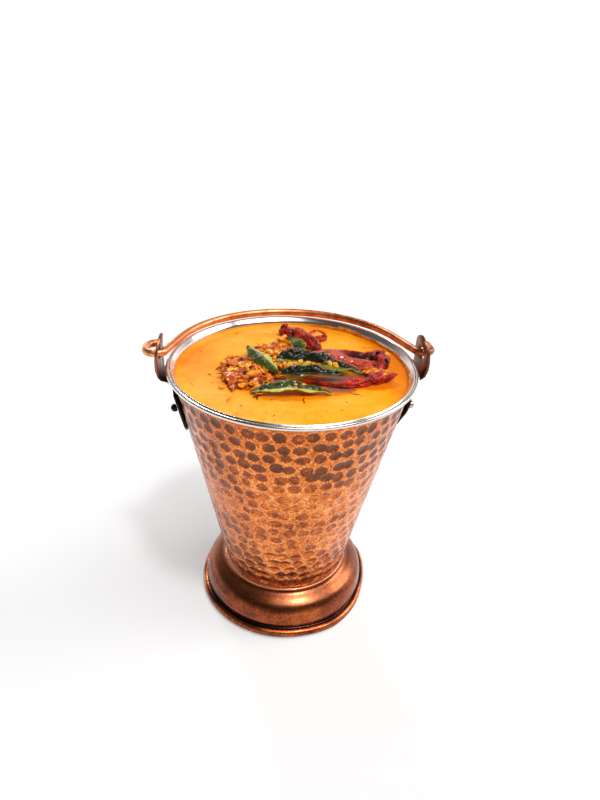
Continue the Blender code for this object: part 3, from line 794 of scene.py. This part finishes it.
def pod(name, spine, flatten, seed, dents=(), wrinkles=1.0, sheen_amount=(0.0, 0.0), nodes=()):
    """A hollow skin along a spine of (x, y, z, radius).

    dents are hollows pressed in from above: (x, y, half length, half width, turn, depth), painted dark
    inside as shade. The pair after wrinkles is how much painted sheen its skin takes, a pinkish grey-red
    standing for the sky's reflection: in the middle, and how much more along its near side.
    """
    line = rounded(spine, 8)
    piece, t, turn = grid(name, 130, 64)
    turn = 2 * pi * turn
    gone = np.concatenate([[0], np.cumsum(np.linalg.norm(np.diff(line[:, :3], axis=0), axis=1))])
    way = t * gone[-1]
    centre = np.stack([np.interp(way, gone, line[:, k]) for k in range(3)], axis=1)
    size = np.interp(way, gone, line[:, 3]) * np.minimum(1, 12 * np.minimum(t, 1 - t)) ** 0.5
    ahead = np.stack([np.interp(way, gone, g) for g in np.gradient(line[:, :3], axis=0).T], axis=1)
    ahead /= np.linalg.norm(ahead, axis=1)[:, None]
    right = np.cross(ahead, (0, 0, 1))
    right /= np.linalg.norm(right, axis=1)[:, None]
    upward = np.cross(right, ahead)
    skin = np.stack([1.3 * np.cos(turn), 1.3 * np.sin(turn), way / 5], axis=1)
    fold = noise_at(skin, 1.0, seed) * 0.32 - np.abs(noise_at(skin, 0.45, seed + 2)) * 0.42
    fine = -np.abs(noise_at(skin, 0.2, seed + 5)) * 0.14
    crease = np.abs(np.sin(2.5 * turn + 3 * noise_at(skin, 1.6, seed + 4))) ** 0.6 * 0.16
    size = size * np.clip(1 + wrinkles * (fold + fine + crease), 0.40, 1.15)
    shape = (centre + right * (size * np.cos(turn))[:, None]
             + upward * (size * flatten * np.sin(turn))[:, None])
    dark = np.zeros(len(t))
    for x, y, long, wide, way_round, deep in dents:
        a = radians(way_round)
        dx, dy = shape[:, 0] - x, shape[:, 1] - y
        inside = np.exp(-(((dx * cos(a) + dy * sin(a)) / long) ** 2
                          + ((dy * cos(a) - dx * sin(a)) / wide) ** 2) ** 2) * (np.sin(turn) > 0)
        shape[:, 2] -= deep * inside
        dark = np.maximum(dark, inside)
    set_points(piece, shape)
    paint(piece, "dark", dark)
    # Painted sheen: a pinkish grey-red reflection colour, more on the near side.
    paint(piece, "sheen_amount", sheen_amount[0] + sheen_amount[1] * np.cos(turn) + 0.2 * noise_at(shape, 3.0, seed + 9))
    weld(piece, 0.01, outward=True)
    smooth(piece)
    return dress(piece, red, "dried_chilli", *nodes)


red = new_finish("fried_chilli_skin", Specular_IOR_Level=0.05, Coat_Weight=0.5, Coat_Roughness=0.05)
tree, place = surface(red)
dent_shade = painted(tree, "dark")
painted_sheen = painted(tree, "sheen_amount")
cloud = mottle(tree, place, 240.0, 5.0, 0.65)
wrinkle = mottle(tree, place, 750.0, 4.0, distortion=1.6)
# Painted shade: the pressed dents are darkened inside.
tone = calc(tree, "MULTIPLY_ADD", dent_shade, -0.5, cloud)
skin = ramp(tree, tone, (0.10, (0.012, 0.003, 0.002)), (0.32, (0.085, 0.004, 0.003)),
            (0.48, (0.32, 0.010, 0.005)), (0.62, (0.66, 0.028, 0.010)), (0.80, (0.88, 0.16, 0.03)))
# Painted sheen: this reflection colour is mixed over the red skin.
sheen_colour = ramp(tree, tone, (0.05, (0.045, 0.010, 0.005)), (0.30, (0.24, 0.026, 0.012)),
            (0.50, (0.60, 0.075, 0.034)), (0.70, (0.74, 0.16, 0.09)))
connect(red,
        Base_Color=mixed(tree, painted_sheen, skin, sheen_colour),
        Roughness=steps(tree, cloud, 0.3, 0.7, 0.36, 0.24),
        Normal=bumps(tree, wrinkle, 0.7, 0.0004))

pod("chilli_at_back",
    [(-2.8, 37.2, 127.0, 1.0), (-1.6, 35.8, 127.4, 3.4), (1.0, 33.6, 127.0, 2.2), (4.0, 29.6, 126.6, 3.7),
     (7.6, 24.2, 126.5, 3.7), (11.6, 18.6, 126.3, 3.1), (15.0, 14.6, 126.1, 0.7)], 1.0, 31,
    [(-3.4, 35.0, 1.6, 1.6, 0, 1.2)], 1.2, (0.05, 0.1), ["chilli_back"])
pod("chilli_broad_split",
    [(9.0, 13.4, 125.6, 0.8), (15.0, 10.4, 125.9, 4.2), (22.0, 6.2, 126.0, 7.0), (29.0, 2.6, 126.2, 9.0),
     (35.0, -0.2, 126.3, 9.2), (39.5, -2.0, 126.2, 6.6), (42.0, -3.0, 126.0, 2.5)], 0.36, 32,
    [(31.5, 3.6, 8.5, 4.4, -28, 3.4)], 0.35, (0.55, 0.5), ["chilli_broad"])
pod("chilli_broad_tip",
    [(34.6, -8.4, 126.4, 0.8), (35.8, -6.0, 127.0, 3.4), (37.6, -1.2, 127.4, 4.8), (39.2, 4.0, 127.0, 4.0),
     (40.4, 7.4, 126.4, 1.0)], 0.85, 35,
    [(34.4, -3.8, 1.8, 2.4, 0, 2.8), (37.0, 0.2, 1.0, 1.6, 30, 1.6), (40.2, -4.2, 1.0, 1.0, 0, 1.2)], 1.5)
pod("chilli_at_front",
    [(14.0, -20.4, 125.6, 0.6), (20.0, -19.8, 126.0, 1.7), (27.0, -18.0, 126.3, 2.5),
     (33.0, -15.8, 126.4, 2.8), (38.6, -14.0, 126.5, 2.1), (44.2, -12.4, 126.9, 0.5)], 0.9, 33,
    [(27.6, -16.6, 2.6, 1.2, 15, 2.0)], 1.3, (0.0, 0.05), ["chilli_front"])
pod("chilli_strip",
    [(1.0, -15.4, 125.9, 0.3), (6.0, -17.4, 126.1, 0.9), (11.0, -18.8, 126.1, 0.9),
     (17.0, -20.0, 125.9, 0.8), (24.0, -20.8, 125.6, 0.3)], 0.8, 37, wrinkles=1.2)
ring = copy_of("chilli_ring", "chilli_ring_cut")
apply(ring, "SUBSURF", levels=2, render_levels=2)
smooth(ring)
dress(ring, red, "dried_chilli", "chilli_ring")

# ---------------------------------------------------------------- fried masala
# Onion shreds, tomato skin, garlic and lentils fried in the tempering oil and spooned on in small
# heaps. Each heap is a paste underneath with separate glossy bits lying over it. The creases of the
# paste and the foot of each bit are painted darker as shade.


def bit(kind, seed):
    """One small thing about 2 mm long: a lump, a shred, a flake or a seed."""
    bpy.ops.object.select_all(action="DESELECT")
    if kind == "flake":
        bpy.ops.mesh.primitive_grid_add(x_subdivisions=7, y_subdivisions=6, size=2 * MM)
    elif kind == "shred":
        bpy.ops.mesh.primitive_cylinder_add(vertices=6, radius=0.3 * MM, depth=3.4 * MM)
        bpy.ops.object.mode_set(mode="EDIT")
        for k in range(1, 8):
            bpy.ops.mesh.select_all(action="SELECT")
            bpy.ops.mesh.bisect(plane_co=(0, 0, (k * 3.4 / 8 - 1.7) * MM), plane_no=(0, 0, 1))
        bpy.ops.object.mode_set(mode="OBJECT")
    else:
        bpy.ops.mesh.primitive_ico_sphere_add(subdivisions=3 if kind == "lump" else 2, radius=MM)
    piece = bpy.context.object
    p = points_of(piece)
    rough = noise_at(p, 1.1, seed) * 0.55
    if kind == "flake":
        curl = 0.30 * p[:, 0] ** 2 - 0.20 * p[:, 1] ** 2 + rough * 0.7
        edge = 1 + 0.40 * noise_at(p, 0.8, seed + 1)
        p = np.stack([p[:, 0] * edge, p[:, 1] * edge * 0.8, curl], axis=1)
    elif kind == "shred":
        t = p[:, 2] / 1.7
        slim = (1 - 0.75 * t ** 2) * (1 + 0.5 * noise_at(p, 0.7, seed))
        p = np.stack([p[:, 2], p[:, 1] * slim * 1.5 + 0.5 * t ** 2 + 0.2 * np.sin(4 * t + seed),
                      p[:, 0] * slim * 0.8 + 0.25 * np.sin(3 * t + seed)], axis=1)
    elif kind == "seed":
        p = p * (1 + 0.12 * np.cos(6 * np.arctan2(p[:, 2], p[:, 1])))[:, None] * (1.5, 0.42, 0.42)
    else:
        p = p * (1 + rough + 0.3 * noise_at(p, 0.5, seed + 2))[:, None] * (1.05, 0.85, 0.66)
    set_points(piece, p)
    if kind == "flake":
        apply(piece, "SOLIDIFY", thickness=0.16 * MM, offset=0.0)
    return piece


KINDS = ("lump", "shred", "flake", "seed")
patterns = {kind: [bit(kind, 40 + 3 * k) for k in range(4)] for kind in KINDS}


def sow(kind, place, size, shade, turn=None):
    """A copy of one of the patterns, with its own mesh. shade goes from 0, charred, to 1, golden,
    and each copy is painted darker at its foot and brighter at its top, as shade.
    """
    source = patterns[kind][chance.integers(4)]
    piece = link(bpy.data.objects.new(kind, source.data.copy()))
    rock, pitch, free = chance.uniform(-0.5, 0.5), chance.uniform(-0.4, 0.4), chance.uniform(0, 2 * pi)
    stretch = np.asarray(size)
    if turn is None:
        rotation = (Matrix.Rotation(free, 4, "Z") @ Matrix.Rotation(pitch, 4, "Y")
                    @ Matrix.Rotation(rock, 4, "X"))
        stretch = stretch * chance.uniform(0.8, 1.25, 3)
    else:
        rotation = Matrix.Rotation(turn, 4, "Z")
    piece.data.transform(Matrix.Translation(Vector(place) * MM) @ rotation
                         @ Matrix.Diagonal((*stretch, 1)))
    height = points_of(piece)[:, 2]
    # Painted shade: each bit darkens towards its foot, where it sinks into the heap.
    paint(piece, "shade", shade + 0.35 * (height - place[2]) / max(np.ptp(height), 0.4))
    return piece


def laid(start, end, height, thick, shade):
    """A shred from one point to another."""
    (x0, y0), (x1, y1) = start, end
    long = hypot(x1 - x0, y1 - y0) / 3.4
    return sow("shred", ((x0 + x1) / 2, (y0 + y1) / 2, height), (long, thick, thick), shade,
               atan2(y1 - y0, x1 - x0))


def gathered(name, pieces):
    """The given pieces joined into one."""
    bpy.ops.object.select_all(action="DESELECT")
    for piece in pieces:
        piece.select_set(True)
    bpy.context.view_layer.objects.active = pieces[0]
    bpy.ops.object.join()
    joined = bpy.context.object
    joined.name = joined.data.name = name
    bpy.ops.object.shade_smooth()
    return joined


fried = new_finish("fried_masala", Specular_IOR_Level=0.05, Coat_Weight=0.5, Coat_Roughness=0.04)
tree, place = surface(fried)
kind_shade = painted(tree, "shade")
cloud = mottle(tree, place, 600.0, 4.0, 0.65)
tone = calc(tree, "MULTIPLY_ADD", cloud, 0.6, kind_shade)
connect(fried,
        Base_Color=ramp(tree, tone, (0.20, (0.02, 0.004, 0.003)), (0.42, (0.15, 0.012, 0.003)),
                        (0.64, (0.46, 0.060, 0.004)), (0.90, (0.80, 0.185, 0.004)),
                        (1.16, (0.96, 0.33, 0.007)), (1.5, (1.0, 0.52, 0.06))),
        Roughness=steps(tree, cloud, 0.3, 0.7, 0.40, 0.26),
        Normal=bumps(tree, cloud, 0.9, 0.0005))

HEAPS = [     # node, centre, half sizes, turn, bulges, lumps, shreds, flakes, seeds
    ("masala_front", (-21.5, -7.5, 125.4), (10.4, 15.6, 2.6), 14, 150, 30, 40, 12, 5),
    ("masala_back", (-6.5, 15.0, 125.3), (12.0, 5.6, 1.7), -6, 70, 14, 44, 4, 3),
    ("masala_right", (34.4, -8.8, 125.5), (5.4, 3.4, 2.2), -8, 24, 12, 5, 2, 1),
]
SIZES = ((0.6, 1.5), (0.8, 1.7), (1.0, 2.1), (0.6, 0.9))        # of each kind of bit
SHADES = ((0.25, 0.85), (0.3, 0.9), (0.1, 0.6), (0.0, 0.3))
for node, centre, half, turn, bulges, *numbers in HEAPS:
    core = copy_of(node, node + "_paste")
    apply(core, "SUBSURF", levels=3, render_levels=3)
    points = points_of(core)
    middle = np.array(centre)
    points = middle + (points - middle) * (0.97, 0.97, 0.84)
    warped = np.stack([noise_at(points, 1.6, 53), noise_at(points, 1.6, 54)], axis=1) * 0.7
    warped += points[:, :2]
    spots = chance.uniform(-1.05, 1.05, (bulges, 2)) * half[:2]
    spots = spots @ np.array([[cos(radians(turn)), sin(radians(turn))],
                              [-sin(radians(turn)), cos(radians(turn))]]) + centre[:2]
    sizes, tones = chance.uniform(0.9, 2.2, bulges), chance.uniform(0.35, 1.05, bulges)
    apart = np.linalg.norm(warped[:, None] - spots, axis=2) / sizes
    domes = np.clip(1 - apart ** 2, 0, 1) ** 0.5
    best = (domes * sizes).argmax(axis=1)
    dome = domes[np.arange(len(points)), best]
    points[:, 2] += 0.5 * dome * sizes[best] - 0.35 + 0.25 * noise_at(points, 0.7, 51)
    set_points(core, points)
    # Painted shade, partly darker oil: each bulge darkens towards its edge, so the creases between bulges
    # are dark.
    paint(core, "shade", tones[best] * (0.15 + 0.85 * dome) + 0.25 * noise_at(points, 2.2, 52) - 0.12)
    smooth(core)
    dress(core, fried, "fried_masala", node)
    pieces = []
    for kind, number, sizes, shades in zip(KINDS, numbers, SIZES, SHADES):
        for _ in range(number):
            reach, way = chance.uniform(0, 1) ** 0.55, chance.uniform(0, 2 * pi)
            x, y = half[0] * reach * cos(way), half[1] * reach * sin(way)
            z = centre[2] + half[2] * 0.85 * max(0, 1 - reach ** 2) ** 0.5 + chance.uniform(-0.35, 0.15)
            a = radians(turn)
            spot = (centre[0] + x * cos(a) - y * sin(a), centre[1] + x * sin(a) + y * cos(a), z)
            pieces.append(sow(kind, spot, chance.uniform(*sizes), chance.uniform(*shades)))
    dress(gathered(node + "_bits", pieces), fried, "fried_masala")

# The bits that lie where they can be told apart: golden lentils and garlic, onion and chilli shreds.
pieces = [sow("lump", (x, y, z), size, shade) for x, y, z, size, shade in (
    (-27.1, 6.4, 126.3, 1.5, 1.0), (-24.4, 6.0, 126.4, 1.3, 0.9), (-26.4, -9.6, 127.2, 2.3, 0.95),
    (-22.5, -5.6, 127.6, 1.6, 0.85), (-20.2, -5.4, 127.7, 1.5, 0.9), (-18.6, -12.0, 127.4, 1.6, 0.85),
    (-16.0, -10.3, 127.2, 1.5, 0.8), (-14.3, -8.6, 127.0, 1.3, 0.8), (2.5, -3.9, 128.8, 1.3, 0.95),
    (5.9, -5.2, 129.0, 1.2, 0.9), (15.2, -6.1, 129.0, 1.5, 0.95), (12.9, -4.2, 129.0, 1.0, 0.85),
    (0.3, -4.9, 128.5, 1.1, 0.85), (-2.0, -3.6, 128.0, 1.0, 0.8), (42.6, 3.4, 128.6, 1.7, 0.9),
    (-3.9, 22.6, 127.6, 1.8, 0.8), (-2.0, 25.0, 127.8, 1.5, 0.75), (37.0, -14.6, 127.4, 2.0, 0.9),
    (34.0, -12.9, 127.4, 1.8, 0.85), (31.0, -13.4, 127.0, 1.2, 0.8), (-36.0, -7.3, 125.3, 0.8, 0.9),
    (-1.0, -22.3, 127.2, 0.9, 0.85), (1.8, -22.4, 127.2, 1.0, 0.9), (-9.6, 10.4, 127.0, 1.7, 0.9),
    (-6.4, 9.4, 127.0, 1.5, 0.95), (-4.4, -5.6, 128.3, 1.3, 0.6), (-2.2, -6.6, 128.4, 1.4, 0.75),
    (1.2, -6.8, 128.6, 1.3, 0.55), (4.4, -6.9, 128.7, 1.2, 0.7), (7.8, -6.4, 128.9, 1.2, 0.6),
    (10.4, -6.9, 128.8, 1.1, 0.4), (17.4, -7.4, 128.8, 1.3, 0.85), (-6.2, -3.2, 128.0, 1.2, 0.5),
    (-0.4, -8.4, 128.3, 1.1, 0.3), (3.0, -8.6, 128.4, 1.1, 0.45))]
pieces += [sow("flake", *flake) for flake in (
    ((11.8, 31.0, 126.9), (4.4, 4.0, 1.6), 0.85, 0.3), ((10.6, 29.4, 126.6), (2.6, 2.2, 1.5), 0.75, 1.4),
    ((-25.0, -3.0, 127.9), (2.6, 2.2, 2.0), 0.45), ((-17.6, 2.0, 127.8), (2.6, 2.2, 2.0), 0.4),
    ((-12.6, -16.8, 126.8), (2.2, 1.6, 1.5), 0.5), ((-19.0, -19.0, 126.8), (2.4, 1.8, 1.5), 0.7))]
pieces += [laid(*shred) for shred in (
    ((-32.6, -13.0), (-28.6, -6.6), 127.4, 1.3, 0.18), ((-20.6, -9.0), (-18.4, -12.4), 128.5, 0.8, 1.1),
    ((-17.6, -7.6), (-15.8, -11.0), 128.3, 0.7, 1.1), ((-15.2, -9.0), (-13.2, -13.0), 128.0, 0.7, 1.15),
    ((-13.8, -6.6), (-12.0, -11.4), 128.0, 0.7, 1.0), ((-19.4, -3.6), (-17.2, -7.4), 128.4, 0.8, 1.0),
    ((-15.6, 0.4), (-9.0, 1.4), 130.0, 1.1, 0.6), ((-19.0, -26.0), (-13.4, -27.6), 126.2, 1.0, 0.85),
    ((-16.4, -25.6), (-17.6, -30.4), 125.2, 1.2, 0.12), ((-16.8, -26.4), (-19.0, -28.4), 125.1, 1.0, 0.2),
    ((1.5, -28.0), (1.0, -33.6), 125.0, 0.6, 0.25), ((20.0, -24.4), (25.0, -27.6), 125.0, 0.6, 0.35),
    ((-13.6, 15.0), (-14.4, 25.0), 125.6, 0.8, 0.55), ((-18.0, 17.0), (-8.0, 19.6), 126.0, 1.2, 0.5),
    ((-12.6, 18.4), (-1.0, 16.0), 126.2, 1.4, 0.55), ((-13.0, 13.6), (-3.0, 12.4), 126.8, 1.5, 0.65),
    ((30.2, -12.2), (30.9, -16.8), 128.3, 1.0, 0.85), ((-27.4, -27.6), (-29.0, -31.0), 125.2, 0.9, 0.5),
    ((-33.0, -19.6), (-29.4, -21.0), 125.3, 0.9, 0.55), ((9.0, 12.0), (17.0, 12.6), 125.4, 1.2, 0.5))]
PATCHES = [   # number, middle, spread, height, slope, kinds, sizes and shades: in a fold, beside the heap
    (30, (-2.0, -4.2), (3.6, 1.2), 127.9, 0.03, ("lump", "lump", "shred"), (0.5, 1.2), (0.25, 0.85)),
    (34, (-9.5, -1.0), (3.2, 6.0), 125.5, 0.0, ("lump", "flake", "shred"), (0.6, 1.4), (0.3, 0.95)),
    (40, (-17.0, -20.5), (4.6, 2.0), 125.3, 0.0, ("lump", "flake", "shred"), (0.5, 1.2), (0.3, 0.95)),
]
for number, middle, spread, height, slope, kinds, sizes, shades in PATCHES:
    for _ in range(number):
        x, y = chance.normal(middle, spread)
        pieces.append(sow(kinds[chance.integers(3)], (x, y, height + slope * x),
                          chance.uniform(*sizes), chance.uniform(*shades)))
dress(gathered("masala_picked_bits", pieces), fried, "fried_masala")

# A torn piece of tomato skin hanging over the heap's front.
skin_piece, u, v = grid("tomato_skin", 26, 26)
corners = np.array([(-31.2, -11.0, 127.6), (-21.0, -11.4, 128.4), (-26.8, -23.8, 125.6)])
shape = ((corners[0] * ((1 - u) * (1 - v))[:, None]) + corners[1] * (u * (1 - v))[:, None]
         + corners[2] * v[:, None])
ragged = noise_at(shape, 2.4, 61)
shape[:, 2] += (0.5 * np.sin(pi * u) * (1 - 0.6 * v) + 0.5 * ragged
                - 1.5 * np.maximum(u - 0.75, 0) * 4 * (1 - v))
shape[:, 0] += 0.7 * noise_at(shape, 1.5, 62)
shape[:, 1] += 0.7 * noise_at(shape, 1.7, 63)
set_points(skin_piece, shape)
# Painted shade: the flap folded down at the right is darkened.
paint(skin_piece, "shade", 0.42 + 0.35 * ragged - 0.35 * (u > 0.72) * (1 - v))
thicken(skin_piece, 0.3)
dress(skin_piece, fried, "fried_masala")

# Crumbs of spice, chilli and lentil all over the dal.
pieces = []
for _ in range(170):
    reach, way = 47.5 * chance.uniform(0, 1) ** 0.5, chance.uniform(0, 2 * pi)
    kind = "seed" if chance.uniform() < 0.75 else "shred"
    pieces.append(sow(kind, (reach * cos(way), reach * sin(way), LEVEL + 0.02),
                      chance.uniform(0.12, 0.38) * (1 if kind == "seed" else 0.8), chance.uniform(0, 0.75)))
dress(gathered("spice_crumbs", pieces), fried, "fried_masala")

for several in patterns.values():
    for piece in several:
        bpy.data.objects.remove(piece)
